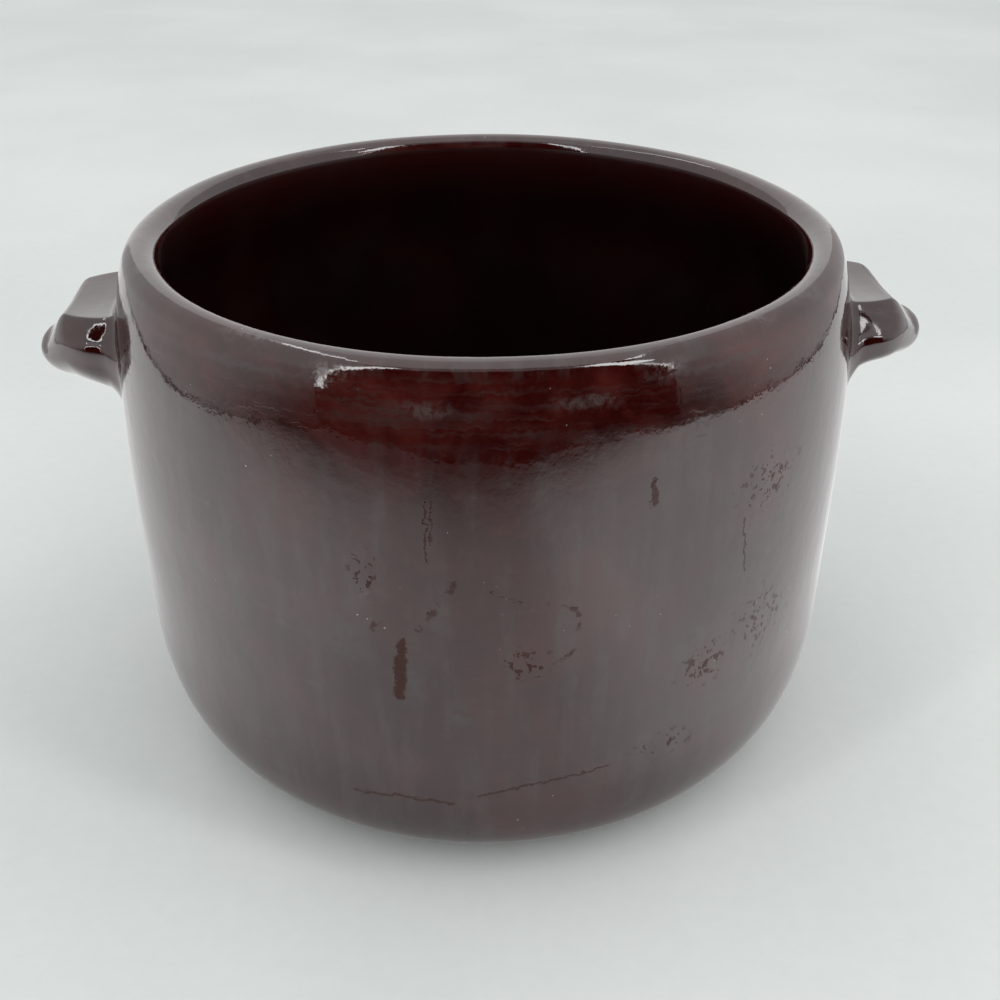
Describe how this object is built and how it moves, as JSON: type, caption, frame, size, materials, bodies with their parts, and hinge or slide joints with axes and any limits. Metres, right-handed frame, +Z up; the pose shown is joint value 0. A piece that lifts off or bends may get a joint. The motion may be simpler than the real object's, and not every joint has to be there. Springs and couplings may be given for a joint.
{
  "type": "stoneware bean pot",
  "caption": "Open glazed stoneware bean pot with an upright round-heeled wall, a rolled-in lip, a bare foot ring and two solid lug handles set high on opposite sides.",
  "frame": {"origin": "on the pot's axis, at the level of the foot ring's underside, which is the surface that it stands on", "axes": "+X from the axis through the middle of the right lug handle, +Z up along the pot's axis, out of the mouth"},
  "size_m": [0.2328, 0.1904, 0.14],
  "materials": {
    "oxblood_glaze": "high-gloss dark oxblood glaze, worn and lightly scratched, over buff stoneware that is bare on the foot ring"
  },
  "bodies": {
    "root": {"pot_body": "oxblood_glaze", "right_lug_handle": "oxblood_glaze", "left_lug_handle": "oxblood_glaze"}
  },
  "joints": []
}
